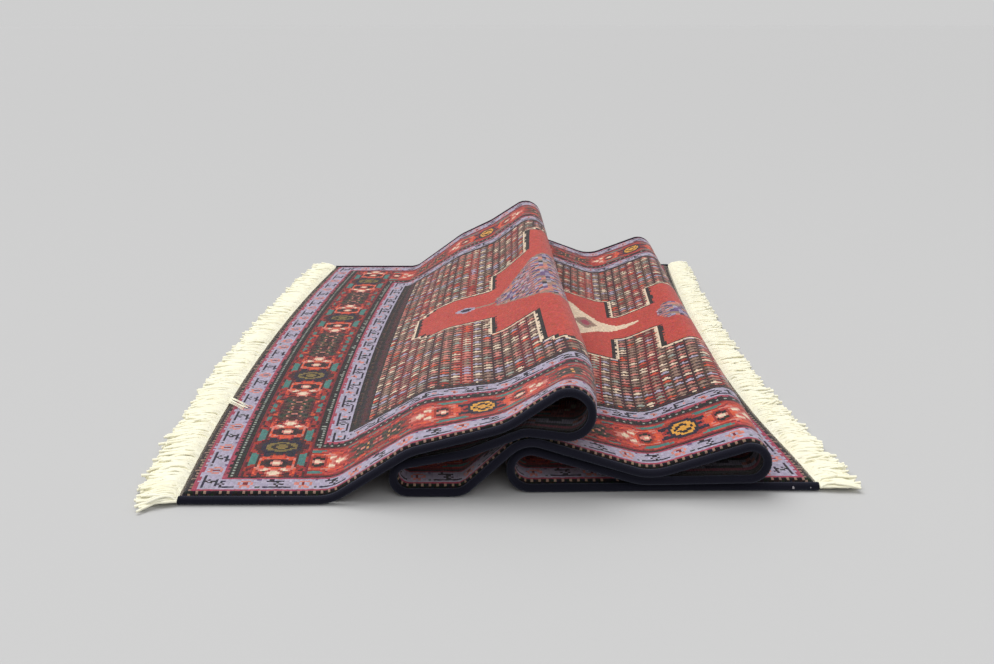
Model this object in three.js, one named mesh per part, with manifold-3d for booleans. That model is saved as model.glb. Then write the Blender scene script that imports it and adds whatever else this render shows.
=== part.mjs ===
// A hand-knotted wool rug, 750 mm wide and about 1300 mm long, pushed from its ends into two folds.
// It lies pile up. x runs along its length, y across its width and z up, in millimetres.
// Every layer of the cloth is one belt: flat on the floor, up over fold A, back under it,
// along the floor again, up over fold B, back under it, and flat to the right end.
import * as THREE from "three";
import { mergeVertices } from "three/addons/utils/BufferGeometryUtils.js";
import Module from "manifold-3d";

// Driving sizes
const WIDTH = 750;
const THICK = 7;
const CORD_RADIUS = 3.4;
// The gap between the cloth and the cord along each side, and between the cloth and each strip.
const GAP = 0.4;
const END_GAP = 0.7;
const BODY_HALF_WIDTH = WIDTH / 2 - 2 * CORD_RADIUS - GAP;
const CORD_LINE = WIDTH / 2 - CORD_RADIUS;
const CORD_SIDES = 6;

// The lines across the width that the cloth's surface is drawn through, as shares of it.
const LINES = [0, 0.03, 0.07, 0.11, 0.15, 0.21, 0.28, 0.36, 0.45, 0.55, 0.66, 0.77, 0.89, 1];

// Where the left end lies at the near and far edges, and how far both ends bow to the left
// between them.
const LEFT_END = { near: -242, far: -236, bow: 17 };

// Where across the rug the folds are given, as shares of its width: the near edge, inside the
// near border, halfway, and the far edge.
const STATIONS = [0, 0.15, 0.5, 1];

// The length of the cloth at each station: its right end isn't quite square.
const LENGTHS = [1309, 1300, 1285, 1290];

// The folds, in order along the length. The cloth turns round each as a belt turns round a
// roller: up, or back under itself to the left, where turn is 1, and down where it is -1.
// steps is the number of flats in the bend. across holds the roller's [x, z, radius] at each
// station, the radius up to the middle of the cloth.
const FOLDS = [
  {
    name: "foot of A",
    turn: 1,
    steps: 4,
    across: [[-136, 37.5, 34], [-137, 36.7, 33.2], [-130.5, 35.7, 32.2], [-126, 33.5, 30]],
  },
  {
    name: "knee of A",
    turn: -1,
    steps: 4,
    across: [[-50, 1.5, 42], [-46.5, -1.2, 44.2], [-34, -6, 45.5], [-19, 0, 60]],
  },
  {
    name: "dip of A",
    turn: 1,
    steps: 4,
    across: [[-18, 114, 60], [-12.8, 111.8, 65.5], [-27.7, 111.4, 67], [-36, 125, 60]],
  },
  {
    name: "crest of A",
    turn: -1,
    steps: 13,
    across: [[53.5, 68, 18.2], [65, 61.4, 14.2], [52, 68.5, 16.4], [41, 81, 18.5]],
  },
  {
    name: "bump of A",
    turn: 1,
    steps: 4,
    across: [[24, 33.5, 20], [22.5, 30, 15.2], [27.8, 36.7, 18.3], [24, 43, 22]],
  },
  {
    name: "slack of A",
    turn: -1,
    steps: 3,
    across: [[-40, 92, 58], [-38.8, 89, 62], [-38, 90.3, 63], [-40, 98, 58]],
  },
  {
    name: "turn of A",
    turn: 1,
    steps: 9,
    across: [[-68, 15.5, 12], [-67, 14.9, 11.4], [-60, 11.9, 8.4], [-50, 17, 13.5]],
  },
  {
    name: "foot of B",
    turn: 1,
    steps: 4,
    across: [[-34, 21.5, 18], [-30, 21.6, 18.1], [-24, 21.1, 17.6], [-18, 19.5, 16]],
  },
  {
    name: "back of B",
    turn: -1,
    steps: 7,
    across: [[27, 20.3, 25], [24.3, 15.9, 21], [31.2, 19.9, 26.3], [40, 24.5, 28.8]],
  },
  {
    name: "trough of B",
    turn: 1,
    steps: 5,
    across: [[118, 64.7, 45], [123, 66.8, 47.6], [128, 67.7, 48.2], [133, 72, 48]],
  },
  {
    name: "crest of B",
    turn: -1,
    steps: 11,
    across: [[194, 27.5, 13.5], [194.5, 27, 15], [197, 27.6, 15.8], [205, 29.5, 17]],
  },
  {
    name: "sag of B",
    turn: -1,
    steps: 3,
    across: [[118, 66.5, 55], [121, 66.6, 55.3], [127, 63, 51.5], [133, 60.5, 49]],
  },
  {
    name: "turn of B",
    turn: 1,
    steps: 9,
    across: [[26.5, 19.5, 16], [24.2, 16.2, 12.7], [30.3, 20.6, 17.1], [40, 23.5, 20]],
  },
];

// The layers aren't square to each other: each row says how far the cloth has crept towards
// the far side, at its near and far edges, by that length along it.
const CREEP = [
  { from: 80, to: 330, near: 13, far: 2 },
  { from: 700, to: 1300, near: 11, far: 8 },
];

// The fringe at each end, knotted into a narrow flat-woven strip. The locks lie on the floor.
const STRIP = { width: 5, height: 3.2 };
const LOCK = { pitch: 8, width: 6.8, height: 9, rootInset: 2.5, leanScatter: 1.6 };

// A lock's section at shares of its length, as shares of its width and height.
const LOCK_SECTIONS = [
  { out: 0, width: 0.9, height: 0.32 },
  { out: 0.5, width: 1, height: 1 },
  { out: 1, width: 0.4, height: 0.35 },
];

// side is -1 at the left end and 1 at the right. A lock is length long, longerInMiddle more
// halfway across, and up to uneven more or less. Its tip leans by nearLean to farLean.
const FRINGES = [
  {
    name: "fringe_left",
    side: -1,
    length: 31,
    longerInMiddle: 3,
    uneven: 3.5,
    nearLean: -9,
    farLean: 12,
    seed: 3,
  },
  {
    name: "fringe_right",
    side: 1,
    length: 31,
    longerInMiddle: 0,
    uneven: 3.5,
    nearLean: 5,
    farLean: 12,
    seed: 11,
  },
];

// Steps of the sine that scatters the locks.
const SCATTER = { perLock: 12.9898, perSeed: 78.233, spread: 43758.5453 };

// Corners closer than this are one corner.
const MERGE_DISTANCE = 1e-4;

const COLOURS = {
  pile: { color: 0x8c4a45, roughness: 0.95, metalness: 0 },
  selvedge: { color: 0x17171f, roughness: 0.9, metalness: 0 },
  fringe: { color: 0xeee6c8, roughness: 0.95, metalness: 0 },
};

const lerp = THREE.MathUtils.lerp;
const leftOf = (heading) => new THREE.Vector2(-Math.sin(heading), Math.cos(heading));

// How far across the rug a line lies: 0 at the near edge, 1 at the far edge.
function share(y) {
  return y / WIDTH + 0.5;
}

function endBow(y) {
  return 1 - (2 * share(y) - 1) ** 2;
}

function leftEnd(y) {
  return lerp(LEFT_END.near, LEFT_END.far, share(y)) - LEFT_END.bow * endBow(y);
}

function creep(along, y) {
  let total = 0;
  for (const row of CREEP) {
    const grown = THREE.MathUtils.smoothstep(along, row.from, row.to);
    total += lerp(row.near, row.far, share(y)) * grown;
  }
  return total;
}

// A smooth curve through one value at each station, read at a share of the width. Between two
// stations it never leaves the range of their values.
function between(values, at) {
  const rises = values.slice(1).map((value, k) => {
    return (value - values[k]) / (STATIONS[k + 1] - STATIONS[k]);
  });
  const slopes = values.map((_, k) => {
    const before = rises[Math.max(k - 1, 0)];
    const after = rises[Math.min(k, rises.length - 1)];
    return before * after > 0 ? (2 * before * after) / (before + after) : 0;
  });
  const last = STATIONS.length - 2;
  const k = Math.min(STATIONS.findLastIndex((station) => station <= at), last);
  const span = STATIONS[k + 1] - STATIONS[k];
  const t = (at - STATIONS[k]) / span;
  const risen = THREE.MathUtils.smoothstep(t, 0, 1);
  const leaned = span * t * (1 - t) * (slopes[k] * (1 - t) - slopes[k + 1] * t);
  return lerp(values[k], values[k + 1], risen) + leaned;
}

// The rollers that the cloth turns round on the line y.
function rollers(y) {
  const at = THREE.MathUtils.clamp(share(y), 0, 1);
  return FOLDS.map(({ turn, steps, across }) => {
    const [x, z, radius] = [0, 1, 2].map((k) => between(across.map((station) => station[k]), at));
    return { turn, steps, radius, centre: new THREE.Vector2(x, z) };
  });
}

// The heading of the straight run that leaves one roller and meets the next.
function headingBetween(from, to) {
  const reach = to.centre.clone().sub(from.centre);
  const offset = to.turn * to.radius - from.turn * from.radius;
  const run = Math.sqrt(reach.lengthSq() - offset * offset);
  return Math.atan2(reach.y, reach.x) - Math.atan2(offset, run);
}

// The cloth's middle layer along the line y, as stations { point, heading, along }: the point
// in x and z, the way the cloth heads there, and the length of cloth up to it.
function foldLine(y) {
  const floor = THICK / 2;
  const line = [{ point: new THREE.Vector2(leftEnd(y), floor), heading: 0 }];
  const row = rollers(y);
  let heading = 0;
  row.forEach((roller, index) => {
    const next = row[index + 1];
    const leaving = next ? headingBetween(roller, next) : 0;
    const bend = THREE.MathUtils.euclideanModulo((leaving - heading) * roller.turn, 2 * Math.PI);
    for (let step = 0; step <= roller.steps; step += 1) {
      const now = heading + (roller.turn * bend * step) / roller.steps;
      const inward = leftOf(now).multiplyScalar(roller.turn * roller.radius);
      line.push({ point: roller.centre.clone().sub(inward), heading: now });
    }
    heading = leaving;
  });
  line[0].along = 0;
  for (let i = 1; i < line.length; i += 1) {
    line[i].along = line[i - 1].along + line[i].point.distanceTo(line[i - 1].point);
  }
  const last = line[line.length - 1];
  const rest = between(LENGTHS, THREE.MathUtils.clamp(share(y), 0, 1)) - last.along;
  for (const part of [0.5, 1]) {
    const point = new THREE.Vector2(last.point.x + rest * part, floor);
    line.push({ point, heading: 0, along: last.along + rest * part });
  }
  return line;
}

// A closed solid through rings of points, each ring in order round the section.
function loft(rings) {
  const around = rings[0].length;
  const positions = rings.flat().flatMap((p) => [p.x, p.y, p.z]);
  const index = [];
  for (let ring = 0; ring + 1 < rings.length; ring += 1) {
    for (let k = 0; k < around; k += 1) {
      const a = ring * around + k;
      const b = ring * around + ((k + 1) % around);
      index.push(a, a + around, b, b, a + around, b + around);
    }
  }
  const lastRing = (rings.length - 1) * around;
  for (let k = 1; k + 1 < around; k += 1) {
    index.push(0, k, k + 1);
    index.push(lastRing, lastRing + k + 1, lastRing + k);
  }
  const geometry = new THREE.BufferGeometry();
  geometry.setAttribute("position", new THREE.Float32BufferAttribute(positions, 3));
  geometry.setIndex(index);
  return geometry;
}

// The slab of cloth: its rings run across the rug, over the pile side and back under it.
function bodyGeometry() {
  const lines = [];
  for (const line of LINES) {
    const y = lerp(-BODY_HALF_WIDTH, BODY_HALF_WIDTH, line);
    lines.push({ y, stations: foldLine(y) });
  }
  const skin = (line, station, side) => {
    const { point, heading, along } = line.stations[station];
    const at = point.clone().addScaledVector(leftOf(heading), (side * THICK) / 2);
    return new THREE.Vector3(at.x, line.y + creep(along, line.y), at.y);
  };
  const rings = lines[0].stations.map((_, station) => {
    const pile = lines.map((line) => skin(line, station, 1));
    const back = lines.map((line) => skin(line, station, -1)).reverse();
    return [...pile, ...back];
  });
  return capStrips(rings, lines.length);
}

// The body's two end faces are long strips, so they are filled as strips and not as fans.
function capStrips(rings, across) {
  const geometry = loft(rings);
  const around = rings[0].length;
  const ends = [{ start: 0, flip: false }, { start: (rings.length - 1) * around, flip: true }];
  const walls = Array.from(geometry.index.array).slice(0, (rings.length - 1) * around * 6);
  for (const { start, flip } of ends) {
    for (let k = 0; k + 1 < across; k += 1) {
      const top = start + k;
      const under = start + around - 1 - k;
      const quad = [top, top + 1, under, top + 1, under - 1, under];
      walls.push(...(flip ? quad.reverse() : quad));
    }
  }
  geometry.setIndex(walls);
  return geometry;
}

// An overcast cord along one long edge of the cloth.
function cordGeometry(y) {
  const rings = foldLine(y).map(({ point, heading, along }) => {
    const ring = [];
    for (let k = 0; k < CORD_SIDES; k += 1) {
      const angle = (2 * Math.PI * k) / CORD_SIDES;
      const at = point.clone().addScaledVector(leftOf(heading), CORD_RADIUS * Math.sin(angle));
      ring.push(new THREE.Vector3(at.x, y + creep(along, y) + CORD_RADIUS * Math.cos(angle), at.y));
    }
    return ring;
  });
  return loft(rings);
}

// A steady scatter between -1 and 1 that depends only on the lock and the seed.
function scatter(lock, seed) {
  const wave = Math.sin(lock * SCATTER.perLock + seed * SCATTER.perSeed) * SCATTER.spread;
  return 2 * (wave - Math.floor(wave)) - 1;
}

// The place of the cloth's end on the line y: side -1 is the left end, 1 the right end.
function endPlace(y, side) {
  const line = foldLine(y);
  const station = side < 0 ? line[0] : line[line.length - 1];
  return { x: station.point.x, y: y + creep(station.along, y) };
}

// One lock, three-sided and flat on the floor, from inside the strip to its tip.
function lockGeometry(fringe, index, y) {
  const root = endPlace(y, fringe.side);
  const unevenness = fringe.uneven * scatter(index, fringe.seed);
  const length = fringe.length + fringe.longerInMiddle * endBow(y) + unevenness;
  const stray = LOCK.leanScatter * scatter(index, fringe.seed + 1);
  const lean = lerp(fringe.nearLean, fringe.farLean, share(y)) + stray;
  const start = root.x + fringe.side * (END_GAP + LOCK.rootInset);
  const rings = LOCK_SECTIONS.map(({ out, width, height }) => {
    const x = start + fringe.side * (length - LOCK.rootInset) * out;
    const middle = root.y + lean * out * out;
    const half = (LOCK.width / 2) * width * fringe.side;
    return [
      new THREE.Vector3(x, middle - half, 0),
      new THREE.Vector3(x, middle + half, 0),
      new THREE.Vector3(x, middle, LOCK.height * height),
    ];
  });
  return loft(rings);
}

// The flat-woven strip that holds one fringe's roots.
function stripGeometry(fringe) {
  const rings = [];
  for (const line of LINES) {
    const y = lerp(-CORD_LINE, CORD_LINE, line);
    const end = endPlace(y, fringe.side);
    const inner = end.x + fringe.side * END_GAP;
    const outer = inner + fringe.side * STRIP.width;
    const low = Math.min(inner, outer);
    const high = Math.max(inner, outer);
    rings.push([
      new THREE.Vector3(low, end.y, 0),
      new THREE.Vector3(low, end.y, STRIP.height),
      new THREE.Vector3(high, end.y, STRIP.height),
      new THREE.Vector3(high, end.y, 0),
    ]);
  }
  return loft(rings);
}

const wasm = await Module();
wasm.setup();

// A geometry as a solid that can be joined, turned right side out first where it is inside out.
function solidOf(geometry) {
  const merged = mergeVertices(geometry, MERGE_DISTANCE);
  const triVerts = new Uint32Array(merged.index.array);
  const vertProperties = new Float32Array(merged.attributes.position.array);
  if (signedVolume(merged) < 0) {
    for (let i = 0; i < triVerts.length; i += 3) {
      [triVerts[i + 1], triVerts[i + 2]] = [triVerts[i + 2], triVerts[i + 1]];
    }
  }
  return new wasm.Manifold(new wasm.Mesh({ numProp: 3, vertProperties, triVerts }));
}

function signedVolume(geometry) {
  const place = geometry.attributes.position;
  const corner = (i) => new THREE.Vector3().fromBufferAttribute(place, geometry.index.getX(i));
  let volume = 0;
  for (let i = 0; i < geometry.index.count; i += 3) {
    volume += corner(i).dot(corner(i + 1).cross(corner(i + 2))) / 6;
  }
  return volume;
}

function geometryOf(solid) {
  const mesh = solid.getMesh();
  const geometry = new THREE.BufferGeometry();
  geometry.setAttribute("position", new THREE.Float32BufferAttribute(mesh.vertProperties, 3));
  geometry.setIndex(new THREE.Uint32BufferAttribute(mesh.triVerts, 1));
  return geometry;
}

// A strip and all its locks, joined into one solid.
function fringeGeometry(fringe) {
  let solid = solidOf(stripGeometry(fringe));
  const count = Math.floor((2 * CORD_LINE - LOCK.width) / LOCK.pitch);
  for (let index = 0; index <= count; index += 1) {
    const y = (index - count / 2) * LOCK.pitch;
    solid = solid.add(solidOf(lockGeometry(fringe, index, y)));
  }
  return geometryOf(solid);
}

function piece(name, geometry, finish) {
  const mesh = new THREE.Mesh(geometryOf(solidOf(geometry)), new THREE.MeshStandardMaterial(finish));
  mesh.name = name;
  return mesh;
}

const rug = new THREE.Group();
rug.add(piece("rug_body", bodyGeometry(), COLOURS.pile));
rug.add(piece("selvedge_near", cordGeometry(-CORD_LINE), COLOURS.selvedge));
rug.add(piece("selvedge_far", cordGeometry(CORD_LINE), COLOURS.selvedge));
for (const fringe of FRINGES) {
  rug.add(piece(fringe.name, fringeGeometry(fringe), COLOURS.fringe));
}

// The origin is on the floor, under the middle of the whole rug.
const bounds = new THREE.Box3().setFromObject(rug);
const middle = bounds.getCenter(new THREE.Vector3());
rug.position.set(-middle.x, -middle.y, -bounds.min.z);

export default rug;
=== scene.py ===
# %% [markdown]
# # A hand-knotted rug, pushed into two folds
#
# This lesson dresses a small Persian rug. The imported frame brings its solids: the folded cloth,
# a cord along each long edge and a fringe at each end. The real rug is made of thousands of
# wool knots, so the cloth is made here as a flat grid with one face for each knot. The flat
# grid is coloured like a weaver's chart and only then laid over the folds.

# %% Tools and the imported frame
import math
from collections import namedtuple
from functools import lru_cache

import bmesh
import bpy
import numpy as np
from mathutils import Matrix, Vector


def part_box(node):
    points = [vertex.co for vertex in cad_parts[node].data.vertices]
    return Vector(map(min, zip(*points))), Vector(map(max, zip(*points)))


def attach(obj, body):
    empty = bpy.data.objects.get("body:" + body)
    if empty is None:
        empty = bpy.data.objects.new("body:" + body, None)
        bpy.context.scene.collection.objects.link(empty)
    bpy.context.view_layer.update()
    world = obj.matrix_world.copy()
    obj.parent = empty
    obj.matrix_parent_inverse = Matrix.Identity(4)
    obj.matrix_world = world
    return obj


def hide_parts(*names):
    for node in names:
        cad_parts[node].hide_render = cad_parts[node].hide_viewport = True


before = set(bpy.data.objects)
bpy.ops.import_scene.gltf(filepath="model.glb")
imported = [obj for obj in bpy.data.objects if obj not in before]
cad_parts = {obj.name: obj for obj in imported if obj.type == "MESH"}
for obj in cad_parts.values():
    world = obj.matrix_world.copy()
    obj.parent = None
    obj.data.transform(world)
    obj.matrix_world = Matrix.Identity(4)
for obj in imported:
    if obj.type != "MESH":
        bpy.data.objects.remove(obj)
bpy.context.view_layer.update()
print("CAD nodes:", sorted(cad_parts))

# %% [markdown]
# ## How the cloth lies
#
# Every line of the cloth along its length is a belt. It runs flat along the floor and turns
# round rollers, up where turn is 1 and down where it is -1. A belt is only straight runs and
# round bends, so a few numbers for each roller give the whole fold. The rollers are given at
# four places across the rug, and a smooth curve joins them. The rug is a little longer on one
# side than on the other, as hand-made rugs are, so its pattern is drawn 1300 long and its last
# part is stretched. Sizes are in millimetres.

# %% Sizes of the flat rug
MM = 0.001
WIDTH = 750
LENGTH = 1300
REAL_LENGTHS = (1309, 1300, 1285, 1290)
UNEVEN_FROM = 900
THICK = 7
CORD_RADIUS = 3.4
CLOTH_EDGE = 7.2
FLOOR_LINE = THICK / 2

# %% The rollers that the cloth turns round
Fold = namedtuple("Fold", "name turn near guard middle far")
STATIONS = (0, 0.15, 0.5, 1)
FOLDS = (
    Fold("foot of A", 1, (-136, 37.5, 34), (-137, 36.7, 33.2), (-130.5, 35.7, 32.2), (-126, 33.5, 30)),
    Fold("knee of A", -1, (-50, 1.5, 42), (-46.5, -1.2, 44.2), (-34, -6, 45.5), (-19, 0, 60)),
    Fold("dip of A", 1, (-18, 114, 60), (-12.8, 111.8, 65.5), (-27.7, 111.4, 67), (-36, 125, 60)),
    Fold("crest of A", -1, (53.5, 68, 18.2), (65, 61.4, 14.2), (52, 68.5, 16.4), (41, 81, 18.5)),
    Fold("bump of A", 1, (24, 33.5, 20), (22.5, 30, 15.2), (27.8, 36.7, 18.3), (24, 43, 22)),
    Fold("slack of A", -1, (-40, 92, 58), (-38.8, 89, 62), (-38, 90.3, 63), (-40, 98, 58)),
    Fold("turn of A", 1, (-68, 15.5, 12), (-67, 14.9, 11.4), (-60, 11.9, 8.4), (-50, 17, 13.5)),
    Fold("foot of B", 1, (-34, 21.5, 18), (-30, 21.6, 18.1), (-24, 21.1, 17.6), (-18, 19.5, 16)),
    Fold("back of B", -1, (27, 20.3, 25), (24.3, 15.9, 21), (31.2, 19.9, 26.3), (40, 24.5, 28.8)),
    Fold("trough of B", 1, (118, 64.7, 45), (123, 66.8, 47.6), (128, 67.7, 48.2), (133, 72, 48)),
    Fold("crest of B", -1, (194, 27.5, 13.5), (194.5, 27, 15), (197, 27.6, 15.8), (205, 29.5, 17)),
    Fold("sag of B", -1, (118, 66.5, 55), (121, 66.6, 55.3), (127, 63, 51.5), (133, 60.5, 49)),
    Fold("turn of B", 1, (26.5, 19.5, 16), (24.2, 16.2, 12.7), (30.3, 20.6, 17.1), (40, 23.5, 20)),
)
Creep = namedtuple("Creep", "start end near far")
CREEP = (Creep(80, 330, 13, 2), Creep(700, 1300, 11, 8))
LEFT_END_NEAR = -242
LEFT_END_FAR = -236
END_BOW = 17
print(len(FOLDS), "rollers")


# %% Curves between the stations across the rug
def smoothstep(value, start, end):
    t = np.clip((value - start) / (end - start), 0, 1)
    return t * t * (3 - 2 * t)


def left_end(share):
    """Where the rug's left end lies, at a share of the width from the near edge."""
    bow = 1 - (2 * share - 1) ** 2
    return LEFT_END_NEAR + (LEFT_END_FAR - LEFT_END_NEAR) * share - END_BOW * bow


def creep(u, share):
    """How far the cloth has crept towards the far side."""
    return sum(
        (row.near + (row.far - row.near) * share) * smoothstep(u, row.start, row.end) for row in CREEP
    )


def slope_at(rises, k):
    before = rises[max(k - 1, 0)]
    after = rises[min(k, len(rises) - 1)]
    return 2 * before * after / (before + after) if before * after > 0 else 0


def between(values, share):
    """A smooth curve through one value at each station."""
    rises = np.diff(values) / np.diff(STATIONS)
    k = min(np.searchsorted(STATIONS, share, side="right") - 1, len(STATIONS) - 2)
    span = STATIONS[k + 1] - STATIONS[k]
    t = (share - STATIONS[k]) / span
    leaned = span * t * (1 - t) * (slope_at(rises, k) * (1 - t) - slope_at(rises, k + 1) * t)
    return values[k] + (values[k + 1] - values[k]) * smoothstep(t, 0, 1) + leaned


# %% The belt on one line across the rug
def touch(roller, heading):
    """The point of a roller where the cloth has that heading."""
    turn, x, z, radius = roller
    return x + turn * radius * math.sin(heading), z - turn * radius * math.cos(heading)


def heading_between(roller, following):
    """The heading of the straight run from one roller to the next."""
    across = following[1] - roller[1]
    up = following[2] - roller[2]
    offset = following[0] * following[3] - roller[0] * roller[3]
    run = math.sqrt(across**2 + up**2 - offset**2)
    return math.atan2(up, across) - math.atan2(offset, run), run


@lru_cache(maxsize=None)
def fold_line(line):
    """The runs and bends on a line: rows of start, x, z, heading and curve."""
    share = line / WIDTH
    rollers = [
        (fold.turn, *(between([place[k] for place in fold[2:]], share) for k in range(3))) for fold in FOLDS
    ]
    rows = [(0, left_end(share), FLOOR_LINE, 0, 0)]
    u = rollers[0][1] - left_end(share)
    heading = 0
    for roller, following in zip(rollers, rollers[1:] + [None]):
        leaving, run = heading_between(roller, following) if following else (0, 0)
        bend = (roller[0] * (leaving - heading)) % (2 * math.pi)
        rows.append((u, *touch(roller, heading), heading, roller[0] / roller[3]))
        u += bend * roller[3]
        rows.append((u, *touch(roller, leaving), leaving, 0))
        u += run
        heading = leaving
    return np.array(rows, float)


# %% [markdown]
# ## From the flat rug to its place
#
# u is the length along the flat rug from its left end, and line is the distance across it from
# the near edge. A point may stand off the middle of the cloth, by height out of its pile side
# and by aside across the rug. The whole rug is shifted so that it meets the near cord of the
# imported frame.

# %% Laying flat points over the folds
near_cord_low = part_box("selvedge_near")[0]
SHIFT_X = near_cord_low.x / MM - left_end(CORD_RADIUS / WIDTH)
SHIFT_Y = near_cord_low.y / MM


def on_line(u, line, aside, height):
    """Where points on one line come to lie, in millimetres."""
    rows = fold_line(line)
    longer = between(REAL_LENGTHS, line / WIDTH) - LENGTH
    u = u + longer * np.clip((u - UNEVEN_FROM) / (LENGTH - UNEVEN_FROM), 0, 1)
    k = np.searchsorted(rows[:, 0], u, side="right") - 1
    start, x, z, heading, curve = rows[np.maximum(k, 0)].T
    gone = u - start
    now = heading + curve * gone
    bent = curve != 0
    steep = np.where(bent, curve, 1)
    x = x + np.where(bent, (np.sin(now) - np.sin(heading)) / steep, gone * np.cos(heading))
    z = z + np.where(bent, (np.cos(heading) - np.cos(now)) / steep, gone * np.sin(heading))
    x = x - np.sin(now) * height + SHIFT_X
    z = z + np.cos(now) * height
    y = line + aside + creep(u, line / WIDTH) + SHIFT_Y
    return np.stack([x, y, z], axis=-1)


def on_fold(u, line, aside=0, height=0):
    """Where points of the flat rug come to lie, in metres."""
    u, line, aside, height = np.broadcast_arrays(u, line, aside, height)
    line = np.round(line, 3)
    places = np.empty((len(u), 3))
    for each in np.unique(line):
        here = line == each
        places[here] = on_line(u[here], float(each), aside[here], height[here])
    return places * MM


corners = on_fold(np.array([0, LENGTH, 0, LENGTH]), np.array([0, 0, WIDTH, WIDTH]))
print("corners of the rug, in mm:", np.round(corners / MM, 1).tolist())

# %% [markdown]
# ## The weaver's charts
#
# A knotted pattern is drawn on squared paper, one square for each knot. The small repeats are
# drawn here in the same way, one letter for each square. Where a repeat is the same on both
# sides of a middle line, only half of it is charted, and the script reads it back the other
# way. A dot is the ground colour of the band.

# %% The size of a knot
KNOT_LENGTH = 2
KNOT_WIDTH = 2.5

# %% The dyes
DYES = {
    "k": (18, 11, 15),
    "n": (20, 20, 42),
    "m": (62, 22, 28),
    "c": (106, 22, 34),
    "r": (142, 42, 36),
    "o": (196, 74, 46),
    "p": (190, 116, 104),
    "w": (214, 192, 166),
    "y": (206, 146, 58),
    "t": (62, 112, 106),
    "g": (44, 60, 48),
    "b": (84, 56, 46),
    "l": (156, 149, 168),
    "v": (96, 72, 112),
    "a": (36, 24, 34),
    "s": (172, 62, 52),
    "e": (138, 112, 98),
    "i": (146, 60, 78),
    "d": (138, 146, 136),
    "u": (112, 96, 52),
}
DYE_LETTERS = np.array(sorted(DYES))


def linear(colour):
    """A colour of 0 to 255, as the eye sees it, as the amounts of light that Blender uses."""
    return (np.asarray(colour) / 255) ** 2.2


DYE_LIGHT = np.array([linear(DYES[letter]) for letter in DYE_LETTERS])

# %% The charts of the repeats
SQUARE = 2.5


def chart(rows):
    return np.array([list(row) for row in rows.split()])


# A quarter of the main border's repeat: down from the middle of a rosette to the middle of the
# leaves, and right from the band's edge to its middle line.
MAIN_BORDER = chart("""
c.mmnnykkyy
c.mmnnyykky
c..mnnnyyyk
c..mmnnnnyy
cm.mmmnnnnn
cmt.mmnnmmn
cmttm.nnn.m
cmttmmnn.oo
c.ttm.oo.oo
c.ttmpopooo
c.ttmpommmm
c.ttmommkkp
cmttmomkkpw
cmttmomkkpw
cmt.mpmmkkp
cm..mpommmm
c..cppop.oo
c.m.oppwwpo
c.m.o.pwp.p
cm..o..m.pw
cm.co.m.pww
cm.m.omm.pw
cm.m.cm..pp
c.tc.o.mmpm
c.tcc.mbmmm
c.tc.cmbbmm
c.tcmmgbkbm
cm.mmbgkpbk
cm.oobkgbbk
cmco.mkggkp
c.cmocmbgkb
c.tccmbkpyk
cmtc.mkbgkb
cmt.cmbggbk
c.t.cmmkbpm
cm.ccmmkbmm
""")
OUTER_GUARD = chart("""
lnlllll
lnlllnl
lnlllnn
lnlklnl
lnklknl
lnlklnl
lnlllll
lnlllll
lnlllll
lllllll
lllppll
lppllpl
llpccpl
lppllpl
lllppll
lllllll
lgllllv
lllllll
""")
INNER_GUARD = chart("""
lnnnnnl
lnlglnl
lnlllnl
lnlplnl
lnlllll
lnlllll
lnlllll
llllnll
lllllnl
lllplnl
lpcplnl
llpllnl
lllllnl
lnlllnl
lnlklnl
lnklkll
lnlklll
lnlllll
""")
FIELD = chart("""
xxxb
bxbk
kbkb
""")
FLOWER_COLOURS = "pewepreplepdweoe"
STRIPE_COLOURS = "bmbcbmbr"
STRIPE_WIDTH = 15
print("the main border's quarter repeat is", MAIN_BORDER.shape)


# %% Reading a chart
def read(squares, down, right):
    """The letters of a repeated chart at distances down and right, in millimetres."""
    rows, columns = squares.shape
    row = np.floor(down / SQUARE).astype(int) % rows
    column = np.floor(right / SQUARE).astype(int) % columns
    return squares[row, column]


def folded(distance, repeat):
    """The distance from the nearest middle of a repeat."""
    return np.abs((distance + repeat / 2) % repeat - repeat / 2)


# %% [markdown]
# ## Field and medallion
#
# The field is a close repeat of little flowers, set in columns of changing colour. On it lies
# a stepped medallion in coral red: each step has a cream line outside and a black line inside.
# The right half mirrors the left half. The two folds hide the middle of the rug, so the steps
# between them are a guess.

# %% The field
MIDDLE_U = LENGTH / 2
MIDDLE_V = WIDTH / 2


def chosen(letters, column, row):
    """One of the letters for each small flower, mixed but the same in every run."""
    column = np.asarray(column, int)
    row = np.asarray(row, int)
    return np.array(list(letters))[(column * 7 + row * 13 + column * row * 5 + row // 3) % len(letters)]


def field(u, v):
    letters = read(FIELD, v, u)
    rows, columns = FIELD.shape
    column = np.floor(u / (columns * SQUARE))
    row = np.floor(v / (rows * SQUARE))
    flower = chosen(FLOWER_COLOURS, column, row)
    stripe = np.floor(u / STRIPE_WIDTH).astype(int) % len(STRIPE_COLOURS)
    ground = np.array(list(STRIPE_COLOURS))[stripe]
    letters = np.where(letters == "x", flower, letters)
    return np.where(letters == "b", ground, letters)


# %% The medallion
Step = namedtuple("Step", "start half_width")
MEDALLION = (
    Step(0, 0),
    Step(172, 36),
    Step(180, 45),
    Step(188, 53),
    Step(260, 108),
    Step(311, 198),
    Step(322, 207),
    Step(333, 215),
    Step(425, 108),
    Step(514, 40),
    Step(563, 108),
)
CREAM_LINE = 3
BLACK_LINE = 5
LINE_ACROSS = 2.5


def in_medallion(u, v):
    starts = [step.start for step in MEDALLION]
    half_widths = np.array([step.half_width for step in MEDALLION])
    mirrored = np.minimum(u, LENGTH - u)
    k = np.searchsorted(starts, mirrored, side="right") - 1
    return np.abs(v - MIDDLE_V) < half_widths[k]


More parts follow.
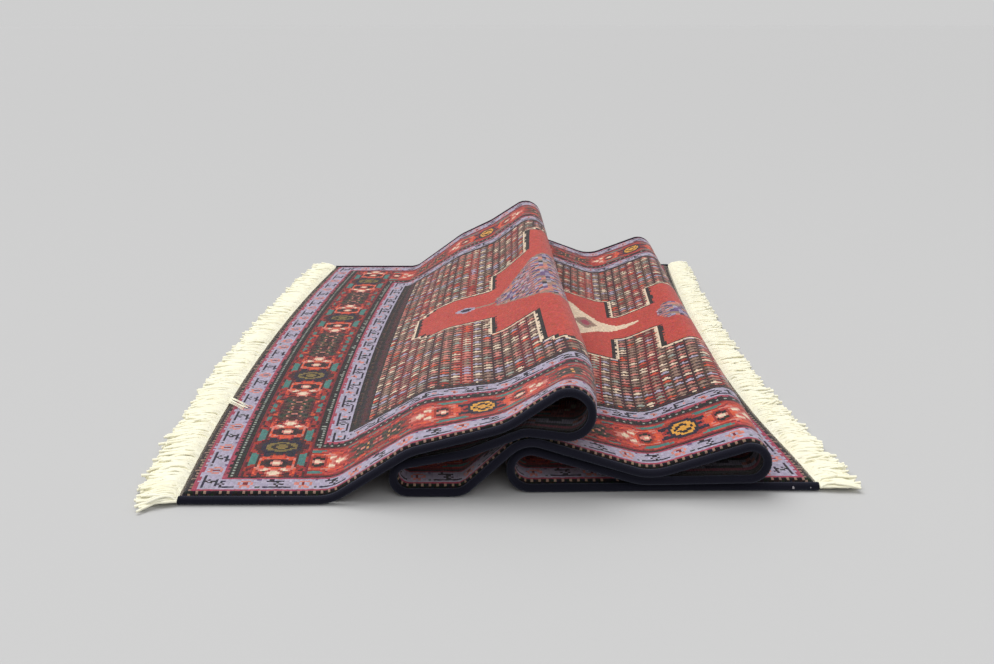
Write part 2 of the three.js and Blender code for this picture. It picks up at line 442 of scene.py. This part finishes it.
def medallion(letters, u, v):
    """The stepped medallion and its two outlines."""
    inside = in_medallion(u, v)
    near_outside = in_medallion(u - CREAM_LINE, v) | in_medallion(u + CREAM_LINE, v)
    near_outside |= in_medallion(u, v - LINE_ACROSS) | in_medallion(u, v + LINE_ACROSS)
    deep_inside = in_medallion(u - BLACK_LINE, v) & in_medallion(u + BLACK_LINE, v)
    deep_inside &= in_medallion(u, v - LINE_ACROSS) & in_medallion(u, v + LINE_ACROSS)
    letters = np.where(near_outside & ~inside, "w", letters)
    letters = np.where(inside, "k", letters)
    letters = np.where(deep_inside, "s", letters)
    return letters


# %% The ornaments on the medallion
# An outline gives places along the rug from its nearer end, and half the width at each.
Outline = namedtuple("Outline", "places half_widths")
BOUQUET = Outline((265, 332, 345, 400, 440), (12, 82, 86, 70, 8))
PALMETTE = Outline((533, 560, 580, 600, 612, 650), (3, 9, 20, 44, 68, 60))
SPRAY = Outline((425, 445, 500, 510), (12, 28, 28, 6))
BOUQUET_COLOURS = "vlepvlnepev"
BOUQUET_BLOOM = (4, 2.5)
BOUQUET_RIM = 4
Diamond = namedtuple("Diamond", "place half_length half_width")
BUD = Diamond(230, 14, 11)
LITTLE_DIAMOND = Diamond(596, 15, 22)
Strip = namedtuple("Strip", "place half_length half_width")
STEM = Strip(254, 14, 2.5)


def half_width(outline, mirrored):
    """Half the width of an ornament at places along the rug, and 0 beyond it."""
    return np.interp(mirrored, *outline, left=0, right=0)


def towards_tip(diamond, mirrored, off):
    """0 in a diamond's middle and 1 on its outline."""
    return np.abs(mirrored - diamond.place) / diamond.half_length + off / diamond.half_width


def ornaments(letters, u, v):
    """The flowers on the medallion, the same on both sides of the rug's middle lines."""
    mirrored = np.minimum(u, LENGTH - u)
    off = np.abs(v - MIDDLE_V)
    long, wide = BOUQUET_BLOOM
    bloom = chosen(BOUQUET_COLOURS, np.floor(u / long), np.floor(v / wide))

    bud = towards_tip(BUD, mirrored, off)
    letters = np.where(bud < 1, "l", letters)
    letters = np.where(bud < 0.6, "n", letters)
    stem = (np.abs(mirrored - STEM.place) < STEM.half_length) & (off < STEM.half_width)
    letters = np.where(stem, "e", letters)

    reach = half_width(BOUQUET, mirrored)
    letters = np.where(off < reach, bloom, letters)
    letters = np.where((off < reach) & (off > reach - BOUQUET_RIM), "e", letters)

    letters = np.where(off < half_width(PALMETTE, mirrored), "w", letters)
    little = towards_tip(LITTLE_DIAMOND, mirrored, off)
    letters = np.where(little < 1, "e", letters)
    letters = np.where(little < 0.5, "i", letters)

    return np.where(off < half_width(SPRAY, mirrored), bloom, letters)


# %% [markdown]
# ## The borders
#
# Bands run round the whole rug. They are a little wider at the ends than along the sides, so
# a table gives where each band starts, in millimetres from the end and from the side. At a
# corner the band that is nearest to the rug's edge wins.

# %% The bands
Band = namedtuple("Band", "name at_end at_side")
BANDS = (
    Band("edge", 0, 7),
    Band("edge dots", 2.5, 8),
    Band("outer line", 8.5, 13),
    Band("outer guard", 11, 15),
    Band("guard line", 28.5, 32.5),
    Band("outer dots", 31, 34),
    Band("main border", 39.5, 36.5),
    Band("inner dots", 94.5, 91.5),
    Band("inner line", 102, 101),
    Band("inner guard", 105, 104),
    Band("dark line", 122.5, 121.5),
    Band("maroon line", 133, 126),
    Band("field line", 139, 128),
    Band("field", 142, 130),
)
BAND_NAMES = [band.name for band in BANDS]
PLAIN_BANDS = {
    "edge": "m",
    "outer line": "i",
    "guard line": "i",
    "inner line": "i",
    "maroon line": "m",
    "field line": "k",
}
DOT_BANDS = {"edge dots": "ke", "outer dots": "kd", "inner dots": "kd", "dark line": "kb"}
DOT_PITCH_AT_END = 2 * KNOT_WIDTH
DOT_PITCH_AT_SIDE = 3 * KNOT_LENGTH
DOTS_FROM_LINE = 3.7
DOT_WIDTH = 1
ROSETTE_PITCH = 178
ROSETTE_AT_END = 95
ROSETTE_AT_SIDE = 68
MAIN_WIDTH = 55
# Each row gives a letter of the main border's chart, then its dye at the ends and at the sides. The darker
# dyes at the ends are painted shade, after the dim far left end of the rug.
BORDER_CHANGES = (("y", "u", "y"), ("m", "m", "r"), (".", "r", "s"))
GUARD_START = 62


def band_index(distance, starts):
    return np.clip(np.searchsorted(starts, distance, side="right") - 1, 0, len(BANDS) - 1)


# %% Weaving the borders
def borders(letters, u, v):
    from_end = np.minimum(u, LENGTH - u)
    from_side = np.minimum(v, WIDTH - v)
    end_band = band_index(from_end, [band.at_end for band in BANDS])
    side_band = band_index(from_side, [band.at_side for band in BANDS])
    band = np.minimum(end_band, side_band)
    at_end = end_band <= side_band
    along = np.where(at_end, from_side, u)
    into = np.where(at_end, from_end, from_side)
    starts = np.array([(band.at_side, band.at_end) for band in BANDS])
    into = into - starts[band, at_end.astype(int)]

    for name, letter in PLAIN_BANDS.items():
        letters = np.where(band == BAND_NAMES.index(name), letter, letters)
    for name, pair in DOT_BANDS.items():
        here = band == BAND_NAMES.index(name)
        dot = np.where(
            at_end,
            (v - CLOTH_EDGE) % DOT_PITCH_AT_END < KNOT_WIDTH,
            u % DOT_PITCH_AT_SIDE < KNOT_LENGTH,
        )
        dot &= np.abs(into - DOTS_FROM_LINE) < DOT_WIDTH
        letters = np.where(here, np.where(dot, pair[1], pair[0]), letters)
    for name, squares in (("outer guard", OUTER_GUARD), ("inner guard", INNER_GUARD)):
        here = band == BAND_NAMES.index(name)
        letters = np.where(here, read(squares, along - GUARD_START, into), letters)
    return main_border(letters, u, v, band, at_end, from_side, into)


def main_border(letters, u, v, band, at_end, from_side, into):
    here = band == BAND_NAMES.index("main border")
    down = np.where(
        at_end,
        folded(from_side - ROSETTE_AT_END, ROSETTE_PITCH),
        folded(u - ROSETTE_AT_SIDE, ROSETTE_PITCH),
    )
    right = np.minimum(into, MAIN_WIDTH - 0.1 - into)
    motif = read(MAIN_BORDER, down, np.clip(right, 0, MAIN_WIDTH / 2 - 0.1))
    # The darker dyes at the ends are painted shade on the border.
    for letter, end_letter, side_letter in BORDER_CHANGES:
        motif = np.where(motif == letter, np.where(at_end, end_letter, side_letter), motif)
    return np.where(here, motif, letters)


def design(u, v):
    """The letter of each knot of the whole rug."""
    letters = field(u, v)
    letters = medallion(letters, u, v)
    letters = ornaments(letters, u, v)
    return borders(letters, u, v)


def dyed(letters):
    """The light of each letter's dye."""
    return DYE_LIGHT[np.searchsorted(DYE_LETTERS, letters)]


# %% [markdown]
# ## A grid of knots
#
# Blender's grid operator makes the flat cloth, and every corner then gets its place over the
# folds. The flat place is kept in a UV map in metres, so that the wool's grain can follow the
# cloth round the folds, and the dye of each knot is kept as a colour attribute.

# %% Flat cloth and its dyes
random = np.random.default_rng(7)
KNOT_WANDER = 0.3
RIM = 0.1
DYE_SPECKLE = 0.006
DARKEST = 0.002


def flat_grid(name, columns, rows, across, along):
    """A grid's mesh, and each corner's distances along and across the flat rug."""
    sheet = bmesh.new()
    bmesh.ops.create_grid(sheet, x_segments=columns, y_segments=rows, size=0.5)
    mesh = bpy.data.meshes.new(name)
    sheet.to_mesh(mesh)
    sheet.free()
    corner = np.empty(len(mesh.vertices) * 3)
    mesh.vertices.foreach_get("co", corner)
    corner = corner.reshape(-1, 3) + 0.5
    u = along[0] + corner[:, 0] * (along[1] - along[0])
    v = across[0] + corner[:, 1] * (across[1] - across[0])
    return mesh, u, v


def corners_of_faces(mesh):
    order = np.empty(len(mesh.loops), int)
    mesh.loops.foreach_get("vertex_index", order)
    return order


def keep_flat_places(mesh, u, v):
    """The UV map: where each corner is on the flat rug, in metres."""
    order = corners_of_faces(mesh)
    places = np.stack([u[order], v[order]], axis=-1) * MM
    mesh.uv_layers.new(name="flat").data.foreach_set("uv", places.ravel())


def dye_knots(mesh, u, v, unevenness):
    """One dye for each face, and no two knots quite alike."""
    order = corners_of_faces(mesh).reshape(-1, 4)
    middle_u = u[order].mean(axis=1)
    middle_v = v[order].mean(axis=1)
    middle_u += random.uniform(-KNOT_WANDER, KNOT_WANDER, len(order))
    middle_v += random.uniform(-KNOT_WANDER, KNOT_WANDER, len(order))
    middle_u = np.clip(middle_u, RIM, LENGTH - RIM)
    middle_v = np.clip(middle_v, RIM, WIDTH - RIM)
    light = dyed(design(middle_u, middle_v))
    light = light * np.exp(random.normal(0, unevenness, (len(light), 1)))
    light = np.clip(light + random.normal(0, DYE_SPECKLE, light.shape), DARKEST, 1)
    colour = np.concatenate([light, np.ones((len(light), 1))], axis=1)
    knots = mesh.color_attributes.new("knots", "FLOAT_COLOR", "CORNER")
    knots.data.foreach_set("color", np.repeat(colour, 4, axis=0).ravel())


def move_corners(mesh, places):
    mesh.vertices.foreach_set("co", np.asarray(places, float).ravel())
    mesh.polygons.foreach_set("use_smooth", np.ones(len(mesh.polygons), bool))
    mesh.update()


def shown(mesh):
    """The mesh as a piece of the rug, on the rug's one body."""
    piece = bpy.data.objects.new(mesh.name, mesh)
    bpy.context.scene.collection.objects.link(piece)
    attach(piece, "root")
    print(f"{piece.name}: {len(mesh.polygons)} faces")
    return piece


# %% [markdown]
# ## The pile
#
# The pile is sheared flat, and at the rug's edges it rounds over down to the ground weave. It
# is made in two halves that meet in the middle of the rug, where the folds hide the seam, so
# that neither mesh is too heavy. Each knot stands a hair higher or lower than the next, also
# in the outermost rows, so that the pile dips a third of a millimetre under the floor there.

# %% The two halves of the pile
PILE_ROUNDING = 6
KNOT_UNEVENNESS = 0.12
PILE_DYE_UNEVENNESS = 0.1


def pile_height(u, v):
    """The height of the pile over the middle of the cloth, rounded over at the edges."""
    from_edge = np.minimum.reduce([u, LENGTH - u, v - CLOTH_EDGE, WIDTH - CLOTH_EDGE - v])
    open_share = 1 - np.clip(from_edge / PILE_ROUNDING, 0, 1)
    return THICK / 2 - THICK * (1 - np.sqrt(1 - open_share**2))


def pile_half(name, along):
    columns = round((along[1] - along[0]) / KNOT_LENGTH)
    rows = round((WIDTH - 2 * CLOTH_EDGE) / KNOT_WIDTH)
    across = (CLOTH_EDGE, WIDTH - CLOTH_EDGE)
    mesh, u, v = flat_grid(name, columns, rows, across, along)
    keep_flat_places(mesh, u, v)
    dye_knots(mesh, u, v, PILE_DYE_UNEVENNESS)
    inner = (u != along[0]) & (u != along[1])
    height = pile_height(u, v) + random.normal(0, KNOT_UNEVENNESS, len(u)) * inner
    move_corners(mesh, on_fold(u, v, height=height))
    return shown(mesh)


pile_left = pile_half("pile_left", (0, MIDDLE_U))
pile_right = pile_half("pile_right", (MIDDLE_U, LENGTH))

# %% [markdown]
# ## The back
#
# On the back of a knotted rug every knot shows as a small loop, so the same pattern is seen
# in flatter colours. Here the dyes of the back are also mixed halfway to near black: partly
# the duller back, partly painted shade for the dark inside of the folds. This sheet is the
# ground weave that all the rest is knotted to, and its faces are turned to look out of the back.

# %% The ground weave
BACK_SQUARE = 5
BACK_DYE_UNEVENNESS = 0.05


def ground_weave():
    columns = LENGTH // BACK_SQUARE
    rows = round((WIDTH - 2 * CLOTH_EDGE) / BACK_SQUARE)
    across = (CLOTH_EDGE, WIDTH - CLOTH_EDGE)
    mesh, u, v = flat_grid("ground_weave", columns, rows, across, (0, LENGTH))
    keep_flat_places(mesh, u, v)
    dye_knots(mesh, u, v, BACK_DYE_UNEVENNESS)
    move_corners(mesh, on_fold(u, v, height=-THICK / 2))
    mesh.flip_normals()
    return shown(mesh)


ground = ground_weave()

# %% [markdown]
# ## The overcast edges
#
# Dark wool is wrapped round and round a cord along each long edge. A grid is rolled into a
# tube, and every second ring is drawn in, which gives one soft ridge for each turn of the
# wool. The seam of the tube is welded and its two ends are filled.

# %% The two wrapped cords
WRAP = 1.9
WRAP_DEPTH = 0.28
WRAP_LEAN = 0.6
WRAP_UNEVENNESS = 0.05
CORD_FACES_ROUND = 10


def weld(mesh):
    """Joins corners in one place and fills the open ends."""
    tube = bmesh.new()
    tube.from_mesh(mesh)
    bmesh.ops.remove_doubles(tube, verts=tube.verts, dist=0.01 * MM)
    open_edges = [edge for edge in tube.edges if edge.is_boundary]
    bmesh.ops.holes_fill(tube, edges=open_edges, sides=0)
    tube.to_mesh(mesh)
    tube.free()


def overcast_edge(name, line):
    columns = 2 * round(LENGTH / WRAP)
    mesh, u, turn = flat_grid(name, columns, CORD_FACES_ROUND, (0, 2 * math.pi), (0, LENGTH))
    keep_flat_places(mesh, u, turn * CORD_RADIUS)
    ring = np.round(u / LENGTH * columns).astype(int)
    uneven = random.normal(0, WRAP_UNEVENNESS, columns + 1)[ring]
    radius = CORD_RADIUS - WRAP_DEPTH * (ring % 2) + uneven
    lean = WRAP_LEAN * np.sin(turn)
    along = np.clip(u + lean, 0, LENGTH)
    move_corners(mesh, on_fold(along, line, -radius * np.cos(turn), radius * np.sin(turn)))
    weld(mesh)
    return shown(mesh)


edge_near = overcast_edge("overcast_near", CORD_RADIUS)
edge_far = overcast_edge("overcast_far", WIDTH - CORD_RADIUS)

# %% [markdown]
# ## The fringes
#
# The cotton warps hang out of a narrow flat-woven strip at each end and are cut to a short
# thick fringe. A curve with many open splines makes the yarns: a bevel gives them their
# thickness, and the whole curve is then turned into one mesh. The yarns of a tuft start close
# together, rise over the strip and spread out to their ends on the floor.

# %% The flat-woven strips
STRIP_WIDTH = 5.7
STRIP_HEIGHT = 3.2


def end_place(line, side):
    """The place of the cloth's end on a line, in millimetres: side is -1 left and 1 right."""
    u = np.full(len(line), 0 if side < 0 else LENGTH)
    return on_fold(u, line) / MM


def end_strip(name, side):
    mesh, out, line = flat_grid(name, 6, 150, (CORD_RADIUS, WIDTH - CORD_RADIUS), (0, 1))
    keep_flat_places(mesh, out * STRIP_WIDTH, line)
    end = end_place(line, side)
    end[:, 0] += side * out * STRIP_WIDTH
    end[:, 2] = STRIP_HEIGHT * np.sqrt(np.clip(1 - (2 * out - 1) ** 4, 0, 1))
    move_corners(mesh, end * MM)
    if side < 0:
        mesh.flip_normals()
    return shown(mesh)


strip_left = end_strip("end_strip_left", -1)
strip_right = end_strip("end_strip_right", 1)

# %% The yarns
Fringe = namedtuple("Fringe", "name side length longer_in_middle uneven near_lean far_lean")
FRINGES = (
    Fringe("fringe_yarns_left", -1, 30, 3, 3, -8, 12),
    Fringe("fringe_yarns_right", 1, 30, 0, 3, 4, 12),
)
TUFT_PITCH = 5
YARNS_IN_TUFT = 12
YARN_THICKNESS = 2.5
YARN_POINTS = 7
YARN_TOP = 7
YARN_LENGTHS = (0.8, 1.08)
YARN_LEAN = 5
YARN_WAVE = 0.8
TIP_RADII = (0.8, 1.2)
TUFT_LEAN = 3
OUT = np.linspace(0, 1, YARN_POINTS)


def yarn(fringe, line, tuft_length, tuft_lean):
    """The points of one yarn, in millimetres, from the strip to its cut end."""
    root = end_place(np.array([line]), fringe.side)[0]
    length = tuft_length * random.uniform(*YARN_LENGTHS)
    lean = tuft_lean + random.normal(0, YARN_LEAN)
    top = random.uniform(0.5, YARN_TOP)
    tip = top * random.uniform(0.3, 1)
    wave = random.normal(0, YARN_WAVE, YARN_POINTS).cumsum()
    x = root[0] + fringe.side * (0.6 + length * OUT)
    y = root[1] + lean * OUT**1.5 + wave - wave[0]
    z = 0.6 * YARN_THICKNESS + np.interp(OUT, (0, 0.2, 0.6, 1), (2, top, top, tip))
    return np.stack([x, y, z], axis=-1)


def add_yarn(curve, points, tip_radius):
    spline = curve.splines.new("POLY")
    spline.points.add(len(points) - 1)
    whole = np.concatenate([points * MM, np.ones((len(points), 1))], axis=1)
    spline.points.foreach_set("co", whole.ravel())
    spline.points.foreach_set("radius", np.linspace(1, tip_radius, len(points)))


def yarn_curve(name, thickness):
    curve = bpy.data.curves.new(name, "CURVE")
    curve.dimensions = "3D"
    curve.bevel_depth = thickness / 2 * MM
    curve.bevel_resolution = 0
    curve.use_fill_caps = True
    return curve


def yarns_as_mesh(curve):
    holder = bpy.data.objects.new(curve.name, curve)
    mesh = bpy.data.meshes.new_from_object(holder)
    bpy.data.objects.remove(holder)
    mesh.name = curve.name
    mesh.polygons.foreach_set("use_smooth", np.ones(len(mesh.polygons), bool))
    return shown(mesh)


def fringe_yarns(fringe):
    curve = yarn_curve(fringe.name, YARN_THICKNESS)
    tufts = round((WIDTH - 2 * CORD_RADIUS) / TUFT_PITCH)
    for middle in np.linspace(CORD_RADIUS, WIDTH - CORD_RADIUS, tufts):
        share = middle / WIDTH
        bow = 1 - (2 * share - 1) ** 2
        length = fringe.length + fringe.longer_in_middle * bow + random.normal(0, fringe.uneven / 2)
        lean = fringe.near_lean + (fringe.far_lean - fringe.near_lean) * share
        lean += random.normal(0, TUFT_LEAN)
        for offset in np.linspace(-TUFT_PITCH / 2, TUFT_PITCH / 2, YARNS_IN_TUFT):
            line = min(max(middle + offset, 1), WIDTH - 1)
            add_yarn(curve, yarn(fringe, line, length, lean), random.uniform(*TIP_RADII))
    return yarns_as_mesh(curve)


fringe_left, fringe_right = (fringe_yarns(fringe) for fringe in FRINGES)

# %% [markdown]
# A few yarns of the left fringe lie back over the pile, as loose ends do. They follow the
# cloth a little above it.

# %% The stray yarns
STRAY_FROM = 203
STRAY_TO = 181
STRAY_REACH = 17
STRAY_COUNT = 9
STRAY_THICKNESS = 1.1


def stray_yarns():
    curve = yarn_curve("stray_yarns", STRAY_THICKNESS)
    for _ in range(STRAY_COUNT):
        u = 0.3 + OUT * (STRAY_REACH + random.normal(0, 2))
        line = STRAY_FROM + random.normal(0, 4) + (STRAY_TO - STRAY_FROM) * OUT**0.7
        height = THICK / 2 + 0.7 + 2.2 * np.sin(math.pi * OUT) * random.uniform(0.2, 1)
        add_yarn(curve, on_fold(u, line, height=height) / MM, 0.5)
    return yarns_as_mesh(curve)


strays = stray_yarns()

# %% [markdown]
# ## Shader maths as Python
#
# A finish is a tree of nodes. A small class wraps a socket, so that a sum or a product of two
# sockets reads as it does on paper, and one method adds any other node.


# %% Sockets and finishes
class Signal:
    """A number that changes over a surface."""

    def __init__(self, finish, socket):
        self.finish = finish
        self.socket = socket

    def __add__(self, other):
        return self.finish.maths("ADD", self, other)

    def __rsub__(self, other):
        return self.finish.maths("SUBTRACT", other, self)

    def __mul__(self, other):
        return self.finish.maths("MULTIPLY", self, other)

    __radd__ = __add__
    __rmul__ = __mul__

    def sine(self):
        return self.finish.maths("SINE", self)

    def size(self):
        return self.finish.maths("ABSOLUTE", self)

    def above(self, limit):
        return self.finish.maths("GREATER_THAN", self, limit)


class Finish:
    """One material and its nodes."""

    def __init__(self, name):
        self.material = bpy.data.materials.new(name)
        self.material.use_nodes = True
        self.tree = self.material.node_tree
        self.tree.nodes.clear()

    def node(self, kind, settings=None, inputs=None):
        added = self.tree.nodes.new("ShaderNode" + kind)
        for name, value in (settings or {}).items():
            setattr(added, name, value)
        for name, value in (inputs or {}).items():
            if isinstance(value, Signal):
                self.tree.links.new(value.socket, added.inputs[name])
            else:
                added.inputs[name].default_value = value
        return added

    def signal(self, kind, output, settings=None, inputs=None):
        return Signal(self, self.node(kind, settings, inputs).outputs[output])

    def maths(self, operation, *values):
        return self.signal("Math", 0, {"operation": operation}, dict(enumerate(values)))

    def noise(self, place, scale, detail=2.0):
        return self.signal("TexNoise", 0, {}, {"Vector": place, "Scale": scale, "Detail": detail})

    def mixed(self, factor, first, second, blend="MIX"):
        """Two colours mixed, where the factor says how much of the second."""
        settings = {"data_type": "RGBA", "blend_type": blend}
        return self.signal("Mix", 2, settings, {0: factor, 6: first, 7: second})

    def bumps(self, height, strength, distance):
        inputs = {"Height": height, "Strength": strength, "Distance": distance}
        return self.signal("Bump", 0, {}, inputs)

    def cloth(self, colour, roughness, normal, sheen, sheen_tint):
        """The shader of soft yarn, and the end of the tree."""
        inputs = {
            "Base Color": colour,
            "Roughness": roughness,
            "Normal": normal,
            "Sheen Weight": sheen,
            "Sheen Roughness": 0.5,
            "Sheen Tint": sheen_tint,
            "Specular IOR Level": 0.2,
        }
        shader = self.signal("BsdfPrincipled", 0, {}, inputs)
        self.node("OutputMaterial", {}, {"Surface": shader})
        return self.material


# %% [markdown]
# ## The wool of the pile
#
# Wool is matt, with a faint bloom where the light grazes it. The knots' dyes come from the
# colour attribute. Fine noise on the flat map breaks them up into cut yarn ends, and a bump
# gives each knot its own little cushion.

# %% The pile's finish
def pile_finish():
    wool = Finish("pile_wool")
    flat = wool.signal("UVMap", 0, {"uv_map": "flat"})
    knots = wool.signal("Attribute", 0, {"attribute_name": "knots"})
    place = wool.node("SeparateXYZ", {}, {"Vector": flat})
    across_knots = (Signal(wool, place.outputs[0]) * (math.pi / (KNOT_LENGTH * MM))).sine().size()
    up_knots = (Signal(wool, place.outputs[1]) * (math.pi / (KNOT_WIDTH * MM))).sine().size()
    fibres = wool.noise(flat, 900, 3)
    wear = wool.noise(flat, 30, 3)
    shade = 0.7 + 0.35 * fibres + 0.25 * wear
    grey = wool.signal("CombineColor", 0, {}, {0: shade, 1: shade, 2: shade})
    colour = wool.mixed(1.0, knots, grey, "MULTIPLY")
    cushion = across_knots * up_knots * 0.5 + fibres
    return wool.cloth(colour, 0.92, wool.bumps(cushion, 0.5, 0.8 * MM), 0.25, (0.9, 0.8, 0.8, 1))


def back_finish():
    back = Finish("knotted_back")
    flat = back.signal("UVMap", 0, {"uv_map": "flat"})
    knots = back.signal("Attribute", 0, {"attribute_name": "knots"})
    place = back.node("SeparateXYZ", {}, {"Vector": flat})
    rows = (Signal(back, place.outputs[0]) * (math.pi / (KNOT_LENGTH * MM))).sine().size()
    loops = (Signal(back, place.outputs[1]) * (math.pi / (KNOT_WIDTH * MM))).sine().size()
    weft = (1 - rows) * 0.5
    # The dyes mixed halfway to near black: partly the duller back, partly painted shade for the dark inside
    # of the folds.
    duller_back_and_painted_shade = back.mixed(0.5, knots, (0.012, 0.01, 0.014, 1))
    colour = back.mixed(weft, duller_back_and_painted_shade, (0.03, 0.025, 0.025, 1))
    return back.cloth(colour, 0.9, back.bumps(rows * loops, 0.6, 0.6 * MM), 0.1, (1, 1, 1, 1))


def overcast_finish():
    wool = Finish("overcast_wool")
    flat = wool.signal("UVMap", 0, {"uv_map": "flat"})
    body = wool.signal("TexCoord", 3)
    fibres = wool.noise(flat, 1200, 2)
    # Pale specks scattered over the dark wool of the cords.
    pale_specks = wool.noise(body, 160, 1).above(0.79)
    dark = wool.mixed(fibres, (*linear((9, 9, 15)), 1), (*linear((26, 25, 41)), 1))
    colour = wool.mixed(pale_specks, dark, (*linear((170, 165, 170)), 1))
    return wool.cloth(colour, 0.9, wool.bumps(fibres, 0.6, 0.4 * MM), 0.15, (0.6, 0.65, 0.9, 1))


def cotton_finish():
    cotton = Finish("fringe_cotton")
    body = cotton.signal("TexCoord", 3)
    fibres = cotton.noise(body, 1500, 3)
    patches = cotton.noise(body, 60, 2)
    pale = cotton.mixed(patches, (*linear((255, 254, 238)), 1), (*linear((255, 250, 220)), 1))
    colour = cotton.mixed(fibres * 0.15, pale, (*linear((246, 234, 194)), 1))
    return cotton.cloth(colour, 0.95, cotton.bumps(fibres, 0.7, 0.5 * MM), 0.3, (1, 1, 0.9, 1))


# %% Finishes on the pieces
FINISHES = (
    (pile_finish(), (pile_left, pile_right)),
    (back_finish(), (ground,)),
    (overcast_finish(), (edge_near, edge_far)),
    (cotton_finish(), (strip_left, strip_right, fringe_left, fringe_right, strays)),
)
for material, pieces in FINISHES:
    for piece in pieces:
        piece.data.materials.append(material)
print([material.name for material, _ in FINISHES])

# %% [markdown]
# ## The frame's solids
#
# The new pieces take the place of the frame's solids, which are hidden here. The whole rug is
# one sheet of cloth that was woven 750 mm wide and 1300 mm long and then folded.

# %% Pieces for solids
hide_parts("rug_body")
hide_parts("selvedge_near")
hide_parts("selvedge_far")
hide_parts("fringe_left")
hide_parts("fringe_right")

# %% [markdown]
# ## Floor, light and camera
#
# The rug lies on a plain pale floor under soft studio light: a wide soft sun overhead, a weak
# lamp from the front, and a pale sky that fills the shadows. The camera stands low in front of
# the near edge.

# %% The floor
def floor():
    plane = bmesh.new()
    bmesh.ops.create_grid(plane, x_segments=1, y_segments=1, size=60)
    mesh = bpy.data.meshes.new("floor")
    plane.to_mesh(mesh)
    plane.free()
    ground_plane = bpy.data.objects.new("floor", mesh)
    bpy.context.scene.collection.objects.link(ground_plane)
    paint = Finish("floor_paint")
    pale = {"Base Color": (0.5, 0.5, 0.5, 1), "Roughness": 0.85}
    shader = paint.signal("BsdfPrincipled", 0, {}, pale)
    paint.node("OutputMaterial", {}, {"Surface": shader})
    mesh.materials.append(paint.material)


floor()


# %% The lights
def lamp_towards(name, kind, place, energy):
    """A lamp that shines from its place towards the rug."""
    lamp = bpy.data.lights.new(name, kind)
    lamp.energy = energy
    holder = bpy.data.objects.new(name, lamp)
    holder.location = place
    holder.rotation_euler = (-Vector(place)).to_track_quat("-Z", "Y").to_euler()
    bpy.context.scene.collection.objects.link(holder)
    return lamp


overhead = lamp_towards("overhead", "SUN", (-0.7, 0.5, 2.2), 1.85)
overhead.angle = math.radians(50)
front = lamp_towards("front", "AREA", (0.3, -2.4, 2.0), 10)
front.size = 1.6
world = bpy.data.worlds.new("studio")
world.use_nodes = True
sky = world.node_tree.nodes["Background"]
sky.inputs["Color"].default_value = (1, 1, 1, 1)
sky.inputs["Strength"].default_value = 0.62
bpy.context.scene.world = world
bpy.context.scene.view_settings.view_transform = "Standard"

# %% The camera
CAMERA_PLACE = (0.0037, -1.0648, 0.352)
CAMERA_TILT = 17.37
camera = bpy.data.cameras.new("camera")
camera.lens = 36.2
camera.sensor_width = 36
view = bpy.data.objects.new("camera", camera)
view.location = CAMERA_PLACE
view.rotation_euler = (math.radians(90 - CAMERA_TILT), 0, 0)
bpy.context.scene.collection.objects.link(view)
bpy.context.scene.camera = view
